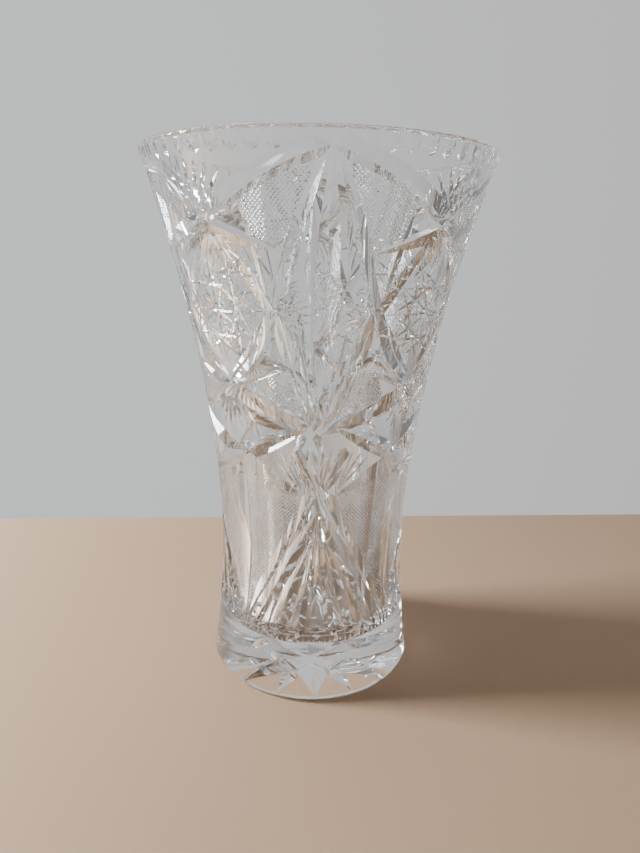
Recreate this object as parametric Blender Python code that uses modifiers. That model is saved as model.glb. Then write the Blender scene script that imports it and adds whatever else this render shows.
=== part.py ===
"""A cut-crystal flower vase, as one turned glass body with its main mitre cuts.

Units are metres and +Z is up. The origin is the centre of the standing face,
and the middle of one of the four cut panels faces -Y.
"""

import math

import bmesh
import bpy
from mathutils import Matrix, Vector

# Outer shape
HEIGHT = 0.250
WAIST_HEIGHT = 0.066
WAIST_RADIUS = 0.0465
RIM_RADIUS = 0.0797
FOOT_RADIUS = 0.0522
FLARE_POWER = 1.8
FOOT_POWER = 1.7
FOOT_ROUND = 0.0034

# Inside
RIM_WALL = 0.0048
WAIST_WALL = 0.0085
LIP_ROUND = 0.0012
FLOOR_HEIGHT = 0.022
FLOOR_ROUND = 0.013

# Wheels. Each leaves a V, and its angle here is half of the V's.
PANELS = 4
MITRE_ANGLE = math.radians(45)
WIDE_ANGLE = math.radians(58)
STAR_ANGLE = math.radians(57)
CUTTER_CLEARANCE = 0.0030
STAR_CLEARANCE = 0.0010
TIP_LIFT = 0.0001

# Mesh
STEPS = 64
OUTER_ROWS = 9
INNER_ROWS = 5
FLOOR_ARC_STEPS = 3
FOOT_ARC_STEPS = 2
LONGEST_STEP = 0.16

# Underside: a star of long rays with short ones between them
STAR_RAYS = 8
LONG_RAY = (0.0030, 0.0487, 0.0135)
SHORT_RAY = (0.0170, 0.0452, 0.0075)

# Level of the fan's foot
FAN_FOOT = 0.0315

# How a cut's depth runs along it: (share of its length, share of its full depth)
LEAF = ((0, 0), (0.15, 0.51), (0.3, 0.84), (0.5, 1), (0.7, 0.84), (0.85, 0.51), (1, 0))
LONG_LEAF = ((0, 0), (0.1, 0.49), (0.25, 0.88), (0.5, 1), (0.75, 0.88), (0.9, 0.49), (1, 0))
BAND = ((0, 0), (0.08, 0.58), (0.2, 0.92), (0.5, 1), (0.8, 0.92), (0.92, 0.58), (1, 0))
ARC_AND_LEAF = ((0, 0), (0.06, 1), (0.6, 1), (0.8, 0.75), (0.92, 0.36), (1, 0))
HEAVY_LEAF = ((0, 0), (0.08, 0.52), (0.2, 0.88), (0.38, 1), (0.56, 0.92), (0.76, 0.36), (1, 0))
RAY = ((0, 0), (0.2, 0.26), (0.5, 0.6), (0.88, 1), (0.95, 0.75), (1, 0))
WEDGE = ((0, 0), (0.92, 1), (1, 0))
SEAM = ((0, 0), (0.04, 0.75), (0.35, 1), (0.7, 0.67), (0.88, 0.28), (1, 0))
KITE = ((0, 0), (0.26, 1), (1, 0))

# Name: width, depth profile, then places on the wall as (degrees from the
# panel's middle, height). Each is cut on both sides of every panel.
SIDE_CUTS = {
    "shoulder_arc": (
        0.0078,
        ARC_AND_LEAF,
        (0.5, 0.2432),
        (9.5, 0.2392),
        (19.5, 0.2338),
        (31.5, 0.2262),
        (45.0, 0.2178),
        (60.0, 0.2122),
        (75.8, 0.2074),
    ),
    "crossing_down": (
        0.0058,
        BAND,
        (1.6, 0.2400),
        (7.5, 0.2240),
        (14.9, 0.1970),
        (21.8, 0.1800),
        (27.2, 0.1676),
        (36.6, 0.1578),
        (45.4, 0.1520),
    ),
    "crossing_up": (
        0.0050,
        BAND,
        (2.0, 0.1372),
        (7.4, 0.1500),
        (11.4, 0.1660),
        (19.4, 0.1846),
        (27.8, 0.1995),
        (38.6, 0.2138),
        (45.4, 0.2182),
    ),
    "waist_upper": (0.0082, HEAVY_LEAF, (5.6, 0.1369), (75.9, 0.1628)),
    "waist_lower": (0.0092, LONG_LEAF, (5.6, 0.1369), (81.6, 0.1044)),
    "fan_shoulder": (0.0070, WEDGE, (13.8, 0.0836), (4.8, 0.1056)),
    "fan_chevron": (
        0.0068,
        BAND,
        (0.2, 0.0972),
        (6.8, 0.0850),
        (17.6, 0.0700),
        (30.2, 0.0500),
        (40.2, FAN_FOOT),
    ),
    "fan_wing": (0.0058, LEAF, (18.6, 0.0860), (24.8, 0.0700), (36.5, 0.0507), (42.0, 0.0400)),
    "fan_outer": (0.0084, RAY, (2.4, 0.0850), (9.2, 0.0700), (17.0, 0.0553), (24.0, FAN_FOOT)),
    "fan_middle": (0.0080, RAY, (1.8, 0.0840), (12.6, FAN_FOOT)),
    "fan_gap": (0.0050, RAY, (23.2, 0.0560), (32.0, FAN_FOOT)),
}

# Name: width, half angle, depth profile, degrees, start and end. Each lies on
# a panel's middle line, or on the seam between two panels.
MIDDLE_CUTS = {
    "panel_mitre": (0.0108, WIDE_ANGLE, LEAF, 0.0, 0.2440, 0.1360),
    "fan_centre": (0.0074, MITRE_ANGLE, RAY, 0.0, 0.0866, FAN_FOOT),
    "seam_mitre": (0.0082, WIDE_ANGLE, SEAM, 45.0, 0.1122, 0.0350),
}


def clear_scene():
    for item in list(bpy.data.objects):
        bpy.data.objects.remove(item, do_unlink=True)


def outer_radius(height):
    """The turned outline: a flare above the waist and a shorter one below it."""
    if height > WAIST_HEIGHT:
        share = (height - WAIST_HEIGHT) / (HEIGHT - WAIST_HEIGHT)
        return WAIST_RADIUS + (RIM_RADIUS - WAIST_RADIUS) * share**FLARE_POWER
    share = (WAIST_HEIGHT - height) / WAIST_HEIGHT
    return WAIST_RADIUS + (FOOT_RADIUS - WAIST_RADIUS) * share**FOOT_POWER


def wall_thickness(height):
    """The wall thins evenly from the floor to the rim."""
    share = (height - FLOOR_HEIGHT) / (HEIGHT - FLOOR_HEIGHT)
    return WAIST_WALL + (RIM_WALL - WAIST_WALL) * share


def quarter_arc(centre, radius, first_angle, last_angle, steps):
    """Points of an arc in the profile's plane, from first_angle to last_angle."""
    points = []
    for index in range(steps + 1):
        angle = first_angle + (last_angle - first_angle) * index / steps
        points.append(
            (
                centre[0] + radius * math.cos(angle),
                centre[1] + radius * math.sin(angle),
            )
        )
    return points


def wall_heights(low, high, rows):
    return [low + (high - low) * row / rows for row in range(rows + 1)]


def vase_profile():
    """The half section: up the inside from the axis, over the lip, down the outside."""
    floor_edge = outer_radius(FLOOR_HEIGHT) - WAIST_WALL - FLOOR_ROUND
    floor_arc = quarter_arc(
        (floor_edge, FLOOR_HEIGHT + FLOOR_ROUND),
        FLOOR_ROUND,
        -math.pi / 2,
        0,
        FLOOR_ARC_STEPS,
    )
    inner_heights = wall_heights(FLOOR_HEIGHT + FLOOR_ROUND, HEIGHT - LIP_ROUND, INNER_ROWS)
    inner_wall = [
        (outer_radius(height) - wall_thickness(height), height)
        for height in inner_heights[1:]
    ]
    lip = [
        (RIM_RADIUS - RIM_WALL + LIP_ROUND, HEIGHT),
        (RIM_RADIUS - LIP_ROUND, HEIGHT),
    ]
    outer_wall = [
        (outer_radius(height), height)
        for height in reversed(wall_heights(FOOT_ROUND, HEIGHT - LIP_ROUND, OUTER_ROWS))
    ]
    foot = quarter_arc(
        (outer_radius(FOOT_ROUND) - FOOT_ROUND, FOOT_ROUND),
        FOOT_ROUND,
        0,
        -math.pi / 2,
        FOOT_ARC_STEPS,
    )[1:]
    return [(0, FLOOR_HEIGHT)] + floor_arc + inner_wall + lip + outer_wall + foot + [(0, 0)]


def turned_body(name, profile, material):
    """The profile, turned about the Z axis by a Screw modifier."""
    mesh = bpy.data.meshes.new(name)
    corners = [(radius, 0, height) for radius, height in profile]
    edges = [(index, index + 1) for index in range(len(corners) - 1)]
    mesh.from_pydata(corners, edges, [])
    body = bpy.data.objects.new(name, mesh)
    bpy.context.scene.collection.objects.link(body)
    body.data.materials.append(material)
    screw = body.modifiers.new("turn", "SCREW")
    screw.angle = math.tau
    screw.steps = STEPS
    screw.render_steps = STEPS
    screw.use_merge_vertices = True
    screw.merge_threshold = 0.00001
    return body


def surface_frame(degrees, height):
    """The point of the outer wall at this angle and height, and its outward normal."""
    angle = math.radians(degrees)
    radial = Vector((math.sin(angle), -math.cos(angle), 0))
    step = 0.0005
    slope = (outer_radius(height + step) - outer_radius(height - step)) / (2 * step)
    point = radial * outer_radius(height) + Vector((0, 0, height))
    return point, (radial - Vector((0, 0, slope))).normalized()


def between(table, share):
    """The table's value at this share, in straight steps."""
    for (low, first), (high, last) in zip(table, table[1:]):
        if share <= high:
            return first + (last - first) * (share - low) / (high - low)
    return table[-1][1]


def stations(profile, curved):
    """Where along a cut its V is placed: at each corner of its depth, and between them on a curve."""
    shares = [profile[0][0]]
    for (low, _), (high, _) in zip(profile, profile[1:]):
        parts = math.ceil((high - low) / LONGEST_STEP) if curved else 1
        shares += [low + (high - low) * (part + 1) / parts for part in range(parts)]
    return shares


def smooth_path(places, shares):
    """Points of the smooth curve through the places, as (degrees, height)."""
    gaps = [
        math.hypot(second[0] - first[0], 1000 * (second[1] - first[1]))
        for first, second in zip(places, places[1:])
    ]
    marks = [sum(gaps[:index]) / sum(gaps) for index in range(len(places))]
    spans = [gap / sum(gaps) for gap in gaps]
    rates = [
        (Vector(second) - Vector(first)) / span
        for first, second, span in zip(places, places[1:], spans)
    ]
    slopes = [rates[0]]
    for index in range(1, len(rates)):
        low = spans[index - 1]
        high = spans[index]
        slopes.append((rates[index] * low + rates[index - 1] * high) / (low + high))
    slopes.append(rates[-1])
    points = []
    for share in shares:
        index = max(at for at in range(len(spans)) if marks[at] <= share + 1e-9)
        part = (share - marks[index]) / spans[index]
        points.append(
            Vector(places[index]) * (1 + 2 * part) * (1 - part) ** 2
            + slopes[index] * spans[index] * part * (1 - part) ** 2
            + Vector(places[index + 1]) * (3 - 2 * part) * part**2
            + slopes[index + 1] * spans[index] * (part - 1) * part**2
        )
    return points


def add_vee(mesh, frames, depths, half_angle, clearance):
    """Adds the closed V-shaped bar that a wheel takes out along the frames."""
    spread = math.tan(half_angle)
    last = len(frames) - 1
    rings = []
    for index, (point, normal) in enumerate(frames):
        before = frames[max(index - 1, 0)][0]
        after = frames[min(index + 1, last)][0]
        side = (after - before).normalized().cross(normal)
        depth = depths[index] - TIP_LIFT
        reach = (depth + clearance) * spread
        top = point + normal * clearance
        corners = (point - normal * depth, top + side * reach, top - side * reach)
        rings.append([mesh.verts.new(corner) for corner in corners])
    for first, second in zip(rings, rings[1:]):
        for corner in range(3):
            following = (corner + 1) % 3
            mesh.faces.new(
                (first[corner], first[following], second[following], second[corner])
            )
    mesh.faces.new(reversed(rings[0]))
    mesh.faces.new(rings[-1])


def cutter_object(name, mesh, collection):
    bmesh.ops.recalc_face_normals(mesh, faces=mesh.faces)
    data = bpy.data.meshes.new(name)
    mesh.to_mesh(data)
    mesh.free()
    cutter = bpy.data.objects.new(name, data)
    cutter.hide_render = True
    cutter.display_type = "WIRE"
    collection.objects.link(cutter)
    return cutter


def panel_cutter(name, places, sign, width, half_angle, profile, collection):
    """One cut, mirrored by sign and repeated on every panel."""
    full_depth = width / 2 / math.tan(half_angle)
    turned = abs(places[-1][0] - places[0][0])
    shares = stations(profile, len(places) > 2 or turned > 30)
    depths = [full_depth * between(profile, share) for share in shares]
    path = smooth_path(places, shares)
    mesh = bmesh.new()
    for panel in range(PANELS):
        turn = 360 * panel / PANELS
        frames = [surface_frame(sign * degrees + turn, height) for degrees, height in path]
        add_vee(mesh, frames, depths, half_angle, CUTTER_CLEARANCE)
    return cutter_object(name, mesh, collection)


def wall_cutters(collection):
    cutters = []
    for name, (width, half_angle, profile, degrees, start, end) in MIDDLE_CUTS.items():
        places = ((degrees, start), (degrees, end))
        cutters.append(
            panel_cutter(name, places, 1, width, half_angle, profile, collection)
        )
    for name, (width, profile, *places) in SIDE_CUTS.items():
        for side, sign in (("left", -1), ("right", 1)):
            cutters.append(
                panel_cutter(
                    f"{name}_{side}", places, sign, width, MITRE_ANGLE, profile, collection
                )
            )
    return cutters


def star_cutter(name, angles, ray, collection):
    """Rays of the star under the foot, in one cutter."""
    inner, outer, width = ray
    full_depth = width / 2 / math.tan(STAR_ANGLE)
    depths = [full_depth * depth for _, depth in KITE]
    mesh = bmesh.new()
    for angle in angles:
        turn = Matrix.Rotation(angle, 4, "Z")
        frames = []
        for share, _ in KITE:
            radius = inner + (outer - inner) * share
            frames.append((turn @ Vector((0, -radius, 0)), Vector((0, 0, -1))))
        add_vee(mesh, frames, depths, STAR_ANGLE, STAR_CLEARANCE)
    return cutter_object(name, mesh, collection)


def star_cutters(collection):
    """The whole star. Rays that would meet are kept in separate cutters."""
    step = math.tau / STAR_RAYS
    cutters = []
    for first in range(STAR_RAYS // 2):
        angles = (step * first, step * first + math.pi)
        cutters.append(star_cutter(f"star_long_{first}", angles, LONG_RAY, collection))
    for first in range(2):
        angles = [step * (ray + 0.5) for ray in range(first, STAR_RAYS, 2)]
        cutters.append(star_cutter(f"star_short_{first}", angles, SHORT_RAY, collection))
    return cutters


def cut_body(body, cutters):
    for cutter in cutters:
        boolean = body.modifiers.new(cutter.name, "BOOLEAN")
        boolean.operation = "DIFFERENCE"
        boolean.solver = "EXACT"
        boolean.object = cutter


def crystal_material():
    material = bpy.data.materials.new("lead_crystal")
    material.use_nodes = True
    material.diffuse_color = (0.80, 0.86, 0.84, 1)
    shader = material.node_tree.nodes["Principled BSDF"]
    shader.inputs["Base Color"].default_value = (0.96, 0.99, 0.98, 1)
    shader.inputs["Roughness"].default_value = 0.02
    shader.inputs["Metallic"].default_value = 0.0
    shader.inputs["IOR"].default_value = 1.55
    shader.inputs["Transmission Weight"].default_value = 1.0
    return material


def main():
    clear_scene()
    guides = bpy.data.collections.new("cutters")
    bpy.context.scene.collection.children.link(guides)
    body = turned_body("vase_body", vase_profile(), crystal_material())
    cut_body(body, wall_cutters(guides) + star_cutters(guides))


main()
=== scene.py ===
"""The looks of the cut crystal vase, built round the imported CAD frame.

Units are metres, +Z is up, and the middle of one cut panel faces -Y. The wall is turned,
then every groove is cut with its own wheel section, as a glass cutter does.
Places on the wall are (degrees from the panel's middle, height).
"""

import math

import bpy
import numpy as np
from mathutils import Matrix, Vector


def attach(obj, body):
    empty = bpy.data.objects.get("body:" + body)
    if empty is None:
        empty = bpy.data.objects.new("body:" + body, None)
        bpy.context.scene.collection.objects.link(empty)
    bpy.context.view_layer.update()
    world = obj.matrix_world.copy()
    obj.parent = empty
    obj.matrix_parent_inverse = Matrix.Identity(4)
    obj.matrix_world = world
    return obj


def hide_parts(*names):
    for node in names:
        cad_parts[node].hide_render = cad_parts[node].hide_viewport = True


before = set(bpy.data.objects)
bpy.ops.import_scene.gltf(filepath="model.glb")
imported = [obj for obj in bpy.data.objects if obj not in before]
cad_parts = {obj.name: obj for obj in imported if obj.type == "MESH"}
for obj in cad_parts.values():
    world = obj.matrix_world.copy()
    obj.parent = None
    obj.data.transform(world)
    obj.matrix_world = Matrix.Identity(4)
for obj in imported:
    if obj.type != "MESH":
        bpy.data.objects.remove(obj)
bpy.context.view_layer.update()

# Outline: the CAD solid's, with a slightly rounder lip
HEIGHT = 0.250
WAIST_HEIGHT = 0.066
WAIST_RADIUS = 0.0465
RIM_RADIUS = 0.0797
FOOT_RADIUS = 0.0522
FLARE_POWER = 1.8
FOOT_POWER = 1.7
FOOT_ROUND = 0.0034
RIM_WALL = 0.0048
WAIST_WALL = 0.0085
LIP_ROUND = 0.0014
FLOOR_HEIGHT = 0.022
FLOOR_ROUND = 0.013

# Mesh fineness
STEPS = 180
OUTER_ROWS = 44
INNER_ROWS = 24
ARC_POINTS = 6
STATION_GAP = 0.0024
HATCH_STATION_GAP = 0.0035

# Wheels
PANELS = 4
MITRE_ANGLE = math.radians(45)
WIDE_ANGLE = math.radians(58)
FINE_ANGLE = math.radians(50)
HATCH_ANGLE = math.radians(57)
TIP_LIFT = 0.00006
MITRE_CLEARANCE = 0.0030
FINE_CLEARANCE = 0.0008
GROUP_GAP = 0.0012

# Levels where many cuts meet
TOP_TIP = 0.2432
FAN_FOOT = 0.0315


# ---------------------------------------------------------------- outline


def outer_radius(height):
    """The turned outline: a flare above the waist and a shorter one below it."""
    flare = np.clip((height - WAIST_HEIGHT) / (HEIGHT - WAIST_HEIGHT), 0, None)
    foot = np.clip((WAIST_HEIGHT - height) / WAIST_HEIGHT, 0, None)
    return (
        WAIST_RADIUS
        + (RIM_RADIUS - WAIST_RADIUS) * flare**FLARE_POWER
        + (FOOT_RADIUS - WAIST_RADIUS) * foot**FOOT_POWER
    )


def inner_radius(height):
    share = (height - FLOOR_HEIGHT) / (HEIGHT - FLOOR_HEIGHT)
    return outer_radius(height) - WAIST_WALL - (RIM_WALL - WAIST_WALL) * share


def slope(radius_at, height):
    """How fast a wall's radius grows with height."""
    step = 0.0004
    return (radius_at(height + step) - radius_at(height - step)) / (2 * step)


def arc(centre, radius, first, last):
    angles = np.linspace(first, last, ARC_POINTS + 1)
    return [
        (centre[0] + radius * math.cos(a), centre[1] + radius * math.sin(a))
        for a in angles
    ]


def vase_profile():
    """The half section: along the floor, up the inside, over the lip, down the outside."""
    floor_edge = outer_radius(FLOOR_HEIGHT) - WAIST_WALL - FLOOR_ROUND
    floor = arc((floor_edge, FLOOR_HEIGHT + FLOOR_ROUND), FLOOR_ROUND, -math.pi / 2, 0)
    lip_level = HEIGHT - LIP_ROUND
    inside = np.linspace(FLOOR_HEIGHT + FLOOR_ROUND, lip_level, INNER_ROWS + 1)[1:]
    outside = np.linspace(lip_level, FOOT_ROUND, OUTER_ROWS + 1)
    inner_lip = (inner_radius(lip_level) + LIP_ROUND, lip_level)
    outer_lip = (outer_radius(lip_level) - LIP_ROUND, lip_level)
    foot = (outer_radius(FOOT_ROUND) - FOOT_ROUND, FOOT_ROUND)
    return (
        [(0, FLOOR_HEIGHT), (floor_edge / 2, FLOOR_HEIGHT)]
        + floor
        + [(inner_radius(z), z) for z in inside[:-1]]
        + arc(inner_lip, LIP_ROUND, math.pi, math.pi / 2)
        + arc(outer_lip, LIP_ROUND, math.pi / 2, 0)
        + [(outer_radius(z), z) for z in outside[1:-1]]
        + arc(foot, FOOT_ROUND, 0, -math.pi / 2)
        + [(0, 0)]
    )


def turned_mesh(name, profile):
    """A closed turned mesh. The profile's first and last points are on the axis."""
    angles = np.arange(STEPS) * math.tau / STEPS
    rings = [
        np.column_stack([r * np.cos(angles), r * np.sin(angles), np.full(STEPS, z)])
        for r, z in profile[1:-1]
    ]
    points = np.concatenate(
        [[(0, 0, profile[0][1])], *rings, [(0, 0, profile[-1][1])]]
    )
    faces = []
    for step in range(STEPS):
        following = (step + 1) % STEPS
        faces.append((0, 1 + step, 1 + following))
        for ring in range(len(rings) - 1):
            low = 1 + ring * STEPS
            high = low + STEPS
            faces.append((low + step, high + step, high + following, low + following))
        last = 1 + (len(rings) - 1) * STEPS
        faces.append((last + step, len(points) - 1, last + following))
    mesh = bpy.data.meshes.new(name)
    mesh.from_pydata(points.tolist(), [], faces)
    return mesh


# ---------------------------------------------------------------- wheels


def wall_frames(degrees, heights):
    """Points of the outer wall and its outward normals."""
    angles = np.radians(degrees)
    radial = np.column_stack([np.sin(angles), -np.cos(angles), np.zeros(len(angles))])
    points = radial * outer_radius(heights)[:, None]
    points[:, 2] = heights
    normals = radial.copy()
    normals[:, 2] = -slope(outer_radius, heights)
    return points, normals / np.linalg.norm(normals, axis=1)[:, None]


def vee_section(depth, half_angle, clearance, lean=0.0):
    """A V wheel's edge, as (sideways, upward) points from its lowest point."""
    rise = depth + clearance
    right = rise * math.tan(half_angle - lean)
    left = rise * math.tan(half_angle + lean)
    return np.array([(0, 0), (right, rise), (-left, rise)])


def round_section(radius, half_turn=math.radians(70), count=9):
    """A rounded wheel's edge."""
    turns = np.linspace(-half_turn, half_turn, count)
    return np.column_stack([radius * np.sin(turns), radius * (1 - np.cos(turns))])


def leaf(share):
    """Deepest in the middle, pointed at both ends."""
    return 1 - (2 * share - 1) ** 2


def band(share):
    """Even for most of its length, with short points."""
    return 1 - np.abs(2 * share - 1) ** 5


def ray(share):
    """Pointed where it starts, deepest just before its rounded end."""
    rise = np.clip(share / 0.88, 0, 1) ** 0.9
    fall = np.clip((share - 0.90) / 0.10, 0, 1)
    return rise * (1 - fall**2)


def even(share):
    return np.ones_like(share)


def swept(points, normals, depths, section):
    """The closed bar that a wheel section leaves along a path: vertices and faces."""
    along = np.gradient(points, axis=0)
    side = np.cross(along, normals)
    side /= np.linalg.norm(side, axis=1)[:, None]
    count = len(section)
    rings = (
        points[:, None]
        - (normals * depths[:, None])[:, None]
        + side[:, None] * section[None, :, :1]
        + normals[:, None] * section[None, :, 1:]
    )
    faces = []
    for ring in range(len(points) - 1):
        low = ring * count
        high = low + count
        for corner in range(count):
            following = (corner + 1) % count
            faces.append((low + corner, low + following, high + following, high + corner))
    faces.append(tuple(range(count))[::-1])
    end = (len(points) - 1) * count
    faces.append(tuple(range(end, end + count)))
    return rings.reshape(-1, 3), faces


def through(*knots):
    """A smooth path on the wall through these places."""
    knots = np.array(knots)
    gaps = np.linalg.norm(np.diff(knots * (1, 1000), axis=0), axis=1)
    marks = np.concatenate([[0], np.cumsum(gaps)]) / gaps.sum()
    slopes = np.gradient(knots, marks, axis=0)

    def path(share):
        index = np.clip(np.searchsorted(marks, share, "right") - 1, 0, len(gaps) - 1)
        span = marks[index + 1] - marks[index]
        part = ((share - marks[index]) / span)[:, None]
        span = span[:, None]
        places = (
            knots[index] * (1 + 2 * part) * (1 - part) ** 2
            + slopes[index] * span * part * (1 - part) ** 2
            + knots[index + 1] * (3 - 2 * part) * part**2
            + slopes[index + 1] * span * (part - 1) * part**2
        )
        return places[:, 0], places[:, 1]

    return path


class Cut:
    """One wheel cut: a path on the wall, a width at its deepest and a depth along its length."""

    def __init__(
        self, start, end, width, shape=leaf, fine=False, path=None, angle=None, lean=0.0
    ):
        self.start = start
        self.end = end
        self.width = width
        self.shape = shape
        self.clearance = FINE_CLEARANCE if fine else MITRE_CLEARANCE
        self.angle = angle or (FINE_ANGLE if fine else MITRE_ANGLE)
        self.path = path or self.straight
        self.lean = lean

    def straight(self, share):
        degrees = self.start[0] + (self.end[0] - self.start[0]) * share
        heights = self.start[1] + (self.end[1] - self.start[1]) * share
        return degrees, heights

    def bar(self, sign=1, turn=0.0):
        """The cutter's vertices and faces, mirrored by sign and turned by degrees."""
        degrees, heights = self.path(np.linspace(0, 1, 9))
        length = np.linalg.norm(
            np.diff(wall_frames(degrees, heights)[0], axis=0), axis=1
        ).sum()
        if self.shape is even:
            share = np.linspace(0, 1, max(2, int(length / HATCH_STATION_GAP) + 2))
        else:
            share = np.linspace(0, 1, max(9, int(length / STATION_GAP) + 1))
        degrees, heights = self.path(share)
        points, normals = wall_frames(sign * degrees + turn, heights)
        full = self.width / 2 / math.tan(self.angle)
        depths = full * self.shape(share) - TIP_LIFT
        section = vee_section(full, self.angle, self.clearance, sign * self.lean)
        return swept(points, normals, depths, section)


# ---------------------------------------------------------------- the pattern


def arc_and_leaf(share):
    """An even band that ends as a long leaf."""
    start = 1 - (1 - np.clip(share / 0.06, 0, 1)) ** 2
    return start * (1 - np.clip((share - 0.60) / 0.40, 0, 1) ** 2)


def long_leaf(share):
    """Full for most of its length, with quick points."""
    return 1 - np.abs(2 * share - 1) ** 3


def heavy_leaf(share):
    """Broad from its start to just past its middle, then a slender tail."""
    places = (0, 0.08, 0.20, 0.38, 0.56, 0.66, 0.76, 0.90, 1)
    return np.interp(share, places, (0, 0.52, 0.88, 1, 0.92, 0.62, 0.36, 0.24, 0))


def wedge(share):
    """Pointed where it starts, widest at its end."""
    return np.clip(share / 0.92, 0, 1) * (1 - np.clip((share - 0.92) / 0.08, 0, 1) ** 2)


def seam_shape(share):
    """Blunt at its start and slowly pointed at its end."""
    start = 0.72 + 0.28 * np.clip(share / 0.35, 0, 1)
    ending = 1 - np.clip((share - 0.35) / 0.65, 0, 1) ** 1.7
    return start * ending * (1 - np.clip(1 - share / 0.03, 0, 1) ** 2)


def side_cuts():
    """Cuts that come in mirrored pairs on every panel."""
    shoulder_arc = through(
        (0.5, TOP_TIP), (9.5, 0.2392), (19.5, 0.2338), (31.5, 0.2262), (45.0, 0.2178),
        (60.0, 0.2122), (75.8, 0.2074),
    )
    crossing_down = through(
        (1.6, 0.2400), (7.5, 0.2240), (11.6, 0.2085), (14.9, 0.1970), (19.6, 0.1847),
        (21.8, 0.1800), (23.9, 0.1742), (27.2, 0.1676), (31.6, 0.1624), (36.6, 0.1578),
        (45.4, 0.1520),
    )
    crossing_up = through(
        (2.0, 0.1372), (7.4, 0.1500), (9.5, 0.1580), (11.4, 0.1660), (14.4, 0.1755),
        (19.4, 0.1846), (22.4, 0.1895), (27.8, 0.1995), (32.4, 0.2065), (38.6, 0.2138),
        (45.4, 0.2182),
    )
    chevron = through(
        (0.2, 0.0972), (6.8, 0.0850), (17.6, 0.0700), (30.2, 0.0500), (36.4, 0.0400),
        (40.2, FAN_FOOT),
    )
    wing = through((18.6, 0.0860), (24.8, 0.0700), (36.5, 0.0507), (42.0, 0.0400))
    outer_ray = through((2.4, 0.0850), (9.2, 0.0700), (17.0, 0.0553), (24.0, FAN_FOOT))
    lens_rim_low = through((25.6, 0.1800), (29.6, 0.1718), (35.2, 0.1642), (42.4, 0.1580))
    lens_rim_high = through((25.4, 0.1912), (28.2, 0.1976), (32.2, 0.2040))
    cuts = {
        "shoulder_arc": Cut(
            None, None, 0.0078, arc_and_leaf, path=shoulder_arc, lean=math.radians(9)
        ),
        "crossing_down": Cut(None, None, 0.0058, band, path=crossing_down),
        "crossing_up": Cut(None, None, 0.0050, band, path=crossing_up),
        "waist_upper": Cut((5.6, 0.1369), (75.9, 0.1628), 0.0082, heavy_leaf),
        "waist_lower": Cut((5.6, 0.1369), (81.6, 0.1044), 0.0092, long_leaf),
        "flank_stem": Cut((20.6, 0.1868), (27.4, 0.2266), 0.0027),
        "drop_leaf": Cut((18.8, 0.1826), (15.6, 0.1632), 0.0036),
        "field_edge": Cut((14.6, 0.1612), (6.0, 0.1392), 0.0026),
        "flank_wedge": Cut((8.2, 0.1780), (1.4, 0.1400), 0.0032),
        "mitre_wedge": Cut((5.2, 0.2280), (7.6, 0.1980), 0.0022),
        "petal": Cut((1.2, 0.1065), (13.0, 0.1275), 0.0056, ray),
        "petal_side": Cut((2.2, 0.1060), (11.6, 0.1180), 0.0030),
        "petal_inner": Cut((0.4, 0.1085), (5.2, 0.1275), 0.0026),
        "fan_shoulder": Cut((13.8, 0.0836), (4.8, 0.1056), 0.0070, wedge),
        "fan_tick": Cut((13.6, 0.0960), (17.8, 0.0795), 0.0026),
        "fan_chevron": Cut(None, None, 0.0068, band, path=chevron),
        "fan_wing": Cut(None, None, 0.0058, path=wing),
        "fan_outer": Cut(None, None, 0.0084, ray, path=outer_ray),
        "fan_middle": Cut((1.8, 0.0840), (12.6, FAN_FOOT), 0.0080, ray),
        "fan_gap": Cut((23.2, 0.0560), (32.0, FAN_FOOT), 0.0050, ray),
        "lens_rim_low": Cut(None, None, 0.0030, path=lens_rim_low),
        "lens_rim_high": Cut(None, None, 0.0022, path=lens_rim_high),
    }
    for index, (degrees, height) in enumerate(((16.6, 0.1268), (20.6, 0.1252), (25.0, 0.1225))):
        cuts[f"petal_hair_{index}"] = Cut((8.6, 0.1064), (degrees, height), 0.0014, fine=True)
    for index, angle in enumerate((-50, -33, -18, -1, 16, 32, 52)):
        reach = 11.4 * math.cos(math.radians(angle))
        rise = 0.0126 * math.sin(math.radians(angle))
        cuts[f"flank_fan_{index}"] = Cut(
            (16.2, 0.1846), (16.2 - reach, 0.1846 + rise), 0.0016, fine=True
        )
    for index, (offset, top) in enumerate(((4.8, 0.2408), (9.3, 0.2404), (13.4, 0.2365))):
        cuts[f"shoulder_fan_{index}"] = Cut(
            (45 - offset * 0.14, 0.2205), (45 - offset, top), 0.0024, fine=True
        )
    for index, (offset, bottom) in enumerate(((4.4, 0.2030), (9.0, 0.2025), (12.6, 0.1985))):
        cuts[f"lens_fan_{index}"] = Cut(
            (45 - offset * 0.2, 0.2160), (45 - offset, bottom), 0.0034
        )
    for index, (offset, bottom) in enumerate(((4.4, 0.1320), (8.8, 0.1335), (13.0, 0.1362))):
        cuts[f"waist_fan_{index}"] = Cut(
            (45 - offset * 0.16, 0.1500), (45 - offset, bottom), 0.0022, fine=True
        )
    return cuts


def middle_cuts():
    """Cuts on a panel's middle line, or on the seam between two panels."""
    return {
        "panel_mitre": Cut((0, 0.2440), (0, 0.1360), 0.0108, angle=WIDE_ANGLE),
        "fan_centre": Cut((0, 0.0866), (0, FAN_FOOT), 0.0074, ray),
        "petal_centre": Cut((0, 0.1085), (0, 0.1320), 0.0030),
        "seam_mitre": Cut((45, 0.1122), (45, 0.0350), 0.0082, seam_shape, angle=WIDE_ANGLE),
        "seam_stem": Cut((45, 0.1230), (45, 0.1095), 0.0024),
        "shoulder_fan_centre": Cut((45, 0.2205), (45, 0.2412), 0.0024, fine=True),
        "lens_fan_centre": Cut((45, 0.2160), (45, 0.2040), 0.0034),
        "waist_fan_centre": Cut((45, 0.1500), (45, 0.1312), 0.0022, fine=True),
    }


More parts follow.
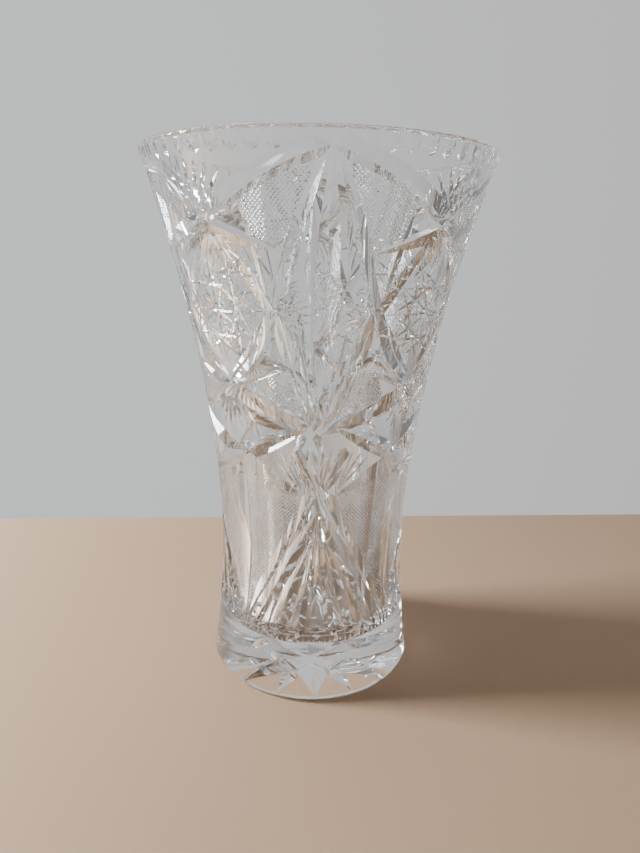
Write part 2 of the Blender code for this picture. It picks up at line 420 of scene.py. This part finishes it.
def lattice_cuts():
    """Straight cuts across the lens: spokes and side chords of a twelve-pointed star."""
    centre = (45.0, 0.1844)
    radius = 0.0206
    apart = 0.0104
    degrees_per_metre = math.degrees(1 / outer_radius(centre[1]))
    cuts = []
    for twelfth in range(6):
        angle = math.radians(30 * twelfth)
        for offset in (-apart, 0, apart):
            reach = math.sqrt(radius**2 - offset**2)
            ends = []
            for way in (-1, 1):
                x = way * reach * math.cos(angle) - offset * math.sin(angle)
                y = way * reach * math.sin(angle) + offset * math.cos(angle)
                ends.append((centre[0] + degrees_per_metre * x, centre[1] + y))
            cuts.append(Cut(ends[0], ends[1], 0.0016, band, fine=True))
    return cuts


def fringe_cuts():
    """The row of short ticks under the big fan."""
    return [
        Cut((degrees, 0.0385), (degrees, 0.0295), 0.0012, fine=True)
        for degrees in np.arange(-43.5, 44, 3.0)
    ]


# ---------------------------------------------------------------- crosshatched fields

HATCH_PITCH = 0.00125
HATCH_SLANT = math.radians(46)
HATCH_FIELDS = (
    ((4.2, 0.2392), (28.0, 0.2262), (25.4, 0.2142), (15.6, 0.2090), (11.6, 0.2160)),
    ((14.4, 0.1618), (24.5, 0.1580), (27.5, 0.1500), (26.0, 0.1480), (7.0, 0.1405)),
    (
        (36.0, 0.1160),
        (9.6, 0.1048),
        (13.2, 0.0925),
        (18.0, 0.0850),
        (40.0, 0.0460),
        (43.4, 0.0450),
        (40.6, 0.0640),
        (40.0, 0.0900),
        (41.4, 0.1120),
    ),
)


def crossings(corners, origin, direction):
    """Where a line enters and leaves a closed outline, as distances along the line."""
    hits = []
    normal = np.array([-direction[1], direction[0]])
    for first, second in zip(corners, np.roll(corners, -1, axis=0)):
        a = (first - origin) @ normal
        b = (second - origin) @ normal
        if (a > 0) != (b > 0):
            hits.append((first + (second - first) * a / (a - b) - origin) @ direction)
    return sorted(hits)


def hatch_lines(field, slant):
    """Parallel fine cuts across one field, each as its two ends in degrees and height."""
    corners = np.array(field)
    middle = corners.mean(axis=0)
    scale = np.array([math.radians(outer_radius(middle[1])), 1.0])
    flat = (corners - middle) * scale
    direction = np.array([math.cos(slant), math.sin(slant)])
    across = np.array([-direction[1], direction[0]])
    reach = int(np.abs(flat @ across).max() / HATCH_PITCH) + 1
    lines = []
    for index in range(-reach, reach + 1):
        origin = across * (index + 0.5) * HATCH_PITCH
        hits = crossings(flat, origin, direction)
        for low, high in zip(hits[::2], hits[1::2]):
            if high - low > HATCH_PITCH:
                ends = [middle + (origin + direction * d) / scale for d in (low, high)]
                lines.append((index, ends))
    return lines


def hatch_groups():
    """Crosshatch cutters, in groups whose bars don't touch one another."""
    every = 3
    groups = {}
    for field in HATCH_FIELDS:
        for family, slant in enumerate((HATCH_SLANT, math.pi - HATCH_SLANT)):
            for index, ends in hatch_lines(field, slant):
                cut = Cut(
                    ends[0], ends[1], HATCH_PITCH * 1.03, even, fine=True, angle=HATCH_ANGLE
                )
                for sign in (-1, 1):
                    key = (family, index % every, sign)
                    for panel in range(PANELS):
                        groups.setdefault(key, []).append(cut.bar(sign, 360 * panel / PANELS))
    return [groups[key] for key in sorted(groups)]


# ---------------------------------------------------------------- rim and underside

SCALLOPS = 60
SCALLOP_RADIUS = 0.0085
SCALLOP_DEPTH = 0.0008
SCALLOP_LOW = 0.2414
SCALLOP_HIGH = 0.2508
STAR_RAYS = 8
STAR_ANGLE = math.radians(57)
STAR_CLEARANCE = 0.0010
LONG_RAY = {"inner": 0.0030, "outer": 0.0487, "width": 0.0135}
SHORT_RAY = {"inner": 0.0170, "outer": 0.0452, "width": 0.0075}


def scallop_groups():
    """The row of shallow thumb cuts under the lip, in two alternating groups."""
    section = round_section(SCALLOP_RADIUS)
    share = np.linspace(0, 1, 11)
    heights = SCALLOP_LOW + (SCALLOP_HIGH - SCALLOP_LOW) * share
    depths = SCALLOP_DEPTH * leaf(share) - TIP_LIFT
    groups = [[], []]
    for index in range(SCALLOPS):
        degrees = 360 * (index + 0.5) / SCALLOPS
        points, normals = wall_frames(np.full(len(heights), degrees), heights)
        groups[index % 2].append(swept(points, normals, depths, section))
    return groups


def kite(share):
    """Widest a quarter of the way out, then straight to a point."""
    return np.interp(share, (0, 0.26, 1), (0, 1, 0))


def star_ray(angle, inner, outer, width):
    """One ray of the star under the foot, cut up into the standing face."""
    share = np.linspace(0, 1, 15)
    full = width / 2 / math.tan(STAR_ANGLE)
    radii = inner + (outer - inner) * share
    points = np.column_stack(
        [radii * math.sin(angle), -radii * math.cos(angle), np.zeros(len(share))]
    )
    normals = np.tile([0.0, 0.0, -1.0], (len(share), 1))
    depths = full * kite(share) - TIP_LIFT
    return swept(points, normals, depths, vee_section(full, STAR_ANGLE, STAR_CLEARANCE))


def star_groups():
    """Long rays towards the panels' middles and seams, with short ones between them."""
    groups = []
    for first in range(STAR_RAYS // 2):
        angles = [math.tau * (first + half) / STAR_RAYS for half in (0, STAR_RAYS // 2)]
        groups.append([star_ray(angle, **LONG_RAY) for angle in angles])
    between = [math.tau * (index + 0.5) / STAR_RAYS for index in range(STAR_RAYS)]
    groups.append([star_ray(angle, **SHORT_RAY) for angle in between])
    return groups


# ---------------------------------------------------------------- cutting


def joined(bars):
    """One mesh of several bars, each turned right side out."""
    points = []
    faces = []
    offset = 0
    for vertices, loops in bars:
        volume = sum(
            np.dot(vertices[loop[0]], np.cross(vertices[loop[i]], vertices[loop[i + 1]]))
            for loop in loops
            for i in range(1, len(loop) - 1)
        )
        for loop in loops:
            turned = loop if volume > 0 else loop[::-1]
            faces.append([offset + corner for corner in turned])
        points.append(vertices)
        offset += len(vertices)
    mesh = bpy.data.meshes.new("wheel")
    mesh.from_pydata(np.concatenate(points).tolist(), [], faces)
    return mesh


def reach_of(cut):
    return cut.width / 2 + cut.clearance * math.tan(cut.angle)


def apart_groups(cuts_with_signs):
    """Puts cuts into as few groups as keep every bar clear of the others in its group."""
    groups = []
    for cut, sign in cuts_with_signs:
        degrees, heights = cut.path(np.linspace(0, 1, 40))
        places = [
            wall_frames(sign * degrees + 360 * panel / PANELS, heights)[0]
            for panel in range(PANELS)
        ]
        bars = [cut.bar(sign, 360 * panel / PANELS) for panel in range(PANELS)]
        own = places[0]
        for group in groups:
            clear = all(
                np.linalg.norm(own[:, None] - other[None], axis=2).min()
                > reach_of(cut) + reach + GROUP_GAP
                for other, reach in group["places"]
            )
            if clear:
                break
        else:
            group = {"places": [], "bars": []}
            groups.append(group)
        group["places"].append((np.concatenate(places), reach_of(cut)))
        group["bars"] += bars
    return [group["bars"] for group in groups]


def cut_all(body, groups):
    """Cuts each group in turn, and keeps only the finished mesh."""
    cutters = []
    for index, bars in enumerate(groups):
        cutter = bpy.data.objects.new(f"wheel_{index}", joined(bars))
        bpy.context.scene.collection.objects.link(cutter)
        cutters.append(cutter)
        boolean = body.modifiers.new(cutter.name, "BOOLEAN")
        boolean.operation = "DIFFERENCE"
        boolean.solver = "MANIFOLD"
        boolean.object = cutter
    graph = bpy.context.evaluated_depsgraph_get()
    finished = bpy.data.meshes.new_from_object(body.evaluated_get(graph))
    body.modifiers.clear()
    body.data = finished
    for cutter in cutters:
        mesh = cutter.data
        bpy.data.objects.remove(cutter)
        bpy.data.meshes.remove(mesh)


def pattern_groups():
    pairs = [(cut, sign) for cut in side_cuts().values() for sign in (-1, 1)]
    single = [(cut, 1) for cut in middle_cuts().values()]
    single += [(cut, 1) for cut in lattice_cuts()]
    single += [(cut, 1) for cut in fringe_cuts()]
    return apart_groups(pairs + single)


def polish(mesh):
    """Gives turned faces the true normals of the wall, and leaves every cut edge crisp."""
    mesh.validate()
    sharp = math.radians(16)
    on_wall = 0.00004
    slack = 0.00001
    mesh.polygons.foreach_set("use_smooth", np.ones(len(mesh.polygons), bool))
    mesh.set_sharp_from_angle(angle=sharp)
    corner_count = len(mesh.loops)
    normals = np.empty(corner_count * 3, np.float32)
    mesh.corner_normals.foreach_get("vector", normals)
    normals = normals.reshape(-1, 3).astype(float)
    points = np.empty(len(mesh.vertices) * 3, np.float32)
    mesh.vertices.foreach_get("co", points)
    points = points.reshape(-1, 3).astype(float)
    corner_vertex = np.empty(corner_count, np.int32)
    mesh.loops.foreach_get("vertex_index", corner_vertex)
    totals = np.empty(len(mesh.polygons), np.int32)
    mesh.polygons.foreach_get("loop_total", totals)
    face_normals = np.empty(len(mesh.polygons) * 3, np.float32)
    mesh.polygons.foreach_get("normal", face_normals)
    face_normals = face_normals.reshape(-1, 3).astype(float)
    corner_face = np.repeat(np.arange(len(totals)), totals)
    places = points[corner_vertex]
    radii = np.hypot(places[:, 0], places[:, 1])
    heights = places[:, 2]
    for radius_at, outward, low in (
        (outer_radius, 1, FOOT_ROUND),
        (inner_radius, -1, FLOOR_HEIGHT + FLOOR_ROUND),
    ):
        true = np.column_stack(
            [
                places[:, 0] / np.maximum(radii, 1e-9),
                places[:, 1] / np.maximum(radii, 1e-9),
                -slope(radius_at, heights),
            ]
        )
        true *= outward / np.linalg.norm(true, axis=1)[:, None]
        near = np.abs(radii - radius_at(heights)) < on_wall
        inside = (heights > low - slack) & (heights < HEIGHT - LIP_ROUND + slack)
        facing = (true * face_normals[corner_face]).sum(axis=1) > math.cos(sharp / 2)
        good = near & inside & facing
        whole = np.bincount(corner_face, good, len(totals)) == totals
        chosen = whole[corner_face]
        normals[chosen] = true[chosen]
    mesh.normals_split_custom_set(normals.tolist())


# ---------------------------------------------------------------- material


def crystal_material():
    material = bpy.data.materials.new("crystal_glass")
    material.use_nodes = True
    shader = material.node_tree.nodes["Principled BSDF"]
    shader.inputs["Base Color"].default_value = (0.985, 0.992, 0.992, 1)
    shader.inputs["Roughness"].default_value = 0.0
    shader.inputs["IOR"].default_value = 1.545
    shader.inputs["Transmission Weight"].default_value = 1.0
    return material


def make_vase():
    mesh = turned_mesh("crystal_vase", vase_profile())
    body = bpy.data.objects.new("crystal_vase", mesh)
    bpy.context.scene.collection.objects.link(body)
    cut_all(body, pattern_groups() + scallop_groups() + star_groups())
    cut_all(body, hatch_groups())
    polish(body.data)
    body.data.materials.clear()
    body.data.materials.append(crystal_material())
    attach(body, "root")
    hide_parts("vase_body")
    return body


# ---------------------------------------------------------------- floor, light, camera


def plain_material(name, colour, roughness):
    material = bpy.data.materials.new(name)
    material.use_nodes = True
    shader = material.node_tree.nodes["Principled BSDF"]
    shader.inputs["Base Color"].default_value = (*colour, 1)
    shader.inputs["Roughness"].default_value = roughness
    return material


FLOOR_BACK = 0.169
FLOOR_FRONT = -1.2
FLOOR_HALF_WIDTH = 1.6
VASE_MIDDLE = (0, 0, 0.13)
PALE_SIDE = (-0.5, 1.0, 0.0)
WORLD_TONES = (
    (0.0, (0.18, 0.18, 0.185)),
    (0.5, (0.22, 0.22, 0.225)),
    (0.64, (0.55, 0.55, 0.55)),
    (1.0, (0.66, 0.67, 0.68)),
)


def make_floor():
    """A plain table top, which ends behind the vase where the photograph's table does."""
    mesh = bpy.data.meshes.new("floor")
    corners = [
        (-FLOOR_HALF_WIDTH, FLOOR_FRONT, 0),
        (FLOOR_HALF_WIDTH, FLOOR_FRONT, 0),
        (FLOOR_HALF_WIDTH, FLOOR_BACK, 0),
        (-FLOOR_HALF_WIDTH, FLOOR_BACK, 0),
    ]
    mesh.from_pydata(corners, [], [(0, 1, 2, 3)])
    floor = bpy.data.objects.new("floor", mesh)
    floor.location.z = -0.0002
    mesh.materials.append(plain_material("floor", (0.52, 0.35, 0.23), 0.6))
    bpy.context.scene.collection.objects.link(floor)


def area_light(name, place, size, power, colour):
    """A rectangular lamp at this place, aimed at the vase's middle."""
    data = bpy.data.lights.new(name, "AREA")
    data.shape = "RECTANGLE"
    data.size, data.size_y = size
    data.energy = power
    data.color = colour
    lamp = bpy.data.objects.new(name, data)
    lamp.location = place
    aim = Vector(VASE_MIDDLE) - Vector(place)
    lamp.rotation_euler = aim.to_track_quat("-Z", "Y").to_euler()
    bpy.context.scene.collection.objects.link(lamp)


def make_world():
    """A soft studio round the vase: pale behind it and to the left, dimmer behind the camera."""
    world = bpy.data.worlds.new("studio")
    world.use_nodes = True
    nodes = world.node_tree.nodes
    links = world.node_tree.links
    place = nodes.new("ShaderNodeTexCoord")
    toward_wall = nodes.new("ShaderNodeVectorMath")
    toward_wall.operation = "DOT_PRODUCT"
    toward_wall.inputs[1].default_value = Vector(PALE_SIDE).normalized()
    share = nodes.new("ShaderNodeMapRange")
    share.inputs["From Min"].default_value = -1.0
    ramp = nodes.new("ShaderNodeValToRGB")
    ramp.color_ramp.elements[0].position = WORLD_TONES[0][0]
    ramp.color_ramp.elements[0].color = (*WORLD_TONES[0][1], 1)
    ramp.color_ramp.elements[1].position = WORLD_TONES[-1][0]
    ramp.color_ramp.elements[1].color = (*WORLD_TONES[-1][1], 1)
    for position, tone in WORLD_TONES[1:-1]:
        ramp.color_ramp.elements.new(position).color = (*tone, 1)
    links.new(place.outputs["Generated"], toward_wall.inputs[0])
    links.new(toward_wall.outputs["Value"], share.inputs["Value"])
    links.new(share.outputs["Result"], ramp.inputs["Fac"])
    links.new(ramp.outputs["Color"], nodes["Background"].inputs["Color"])
    bpy.context.scene.world = world


def make_lamps():
    area_light(
        "window", place=(-0.95, 0.1, 0.5), size=(0.3, 0.5), power=26, colour=(0.86, 0.93, 1.0)
    )
    area_light(
        "soft_front", place=(0.8, -0.8, 1.1), size=(0.7, 0.7), power=0.5, colour=(1.0, 0.98, 0.95)
    )


def make_camera():
    """The photograph's viewpoint: slightly below the rim, tilted down, very close."""
    bearing = math.radians(3.5)
    heading = math.radians(4.03)
    tilt = math.radians(15.52)
    roll = math.radians(1.23)
    distance = 0.312
    height = 0.2094
    data = bpy.data.cameras.new("camera")
    data.sensor_fit = "VERTICAL"
    data.sensor_height = 36
    data.sensor_width = 27
    data.lens = 27.05
    data.clip_start = 0.01
    camera = bpy.data.objects.new("camera", data)
    place = Vector((-distance * math.sin(bearing), -distance * math.cos(bearing), height))
    turn = (
        Matrix.Rotation(-heading, 4, "Z")
        @ Matrix.Rotation(math.pi / 2 - tilt, 4, "X")
        @ Matrix.Rotation(roll, 4, "Z")
    )
    camera.matrix_world = Matrix.Translation(place) @ turn
    bpy.context.scene.collection.objects.link(camera)
    bpy.context.scene.camera = camera


def main():
    scene = bpy.context.scene
    scene.view_settings.look = "AgX - Medium High Contrast"
    scene.view_settings.exposure = -0.15
    scene.cycles.max_bounces = 32
    scene.cycles.transmission_bounces = 32
    scene.cycles.glossy_bounces = 16
    make_vase()
    make_floor()
    make_world()
    make_lamps()
    make_camera()


main()
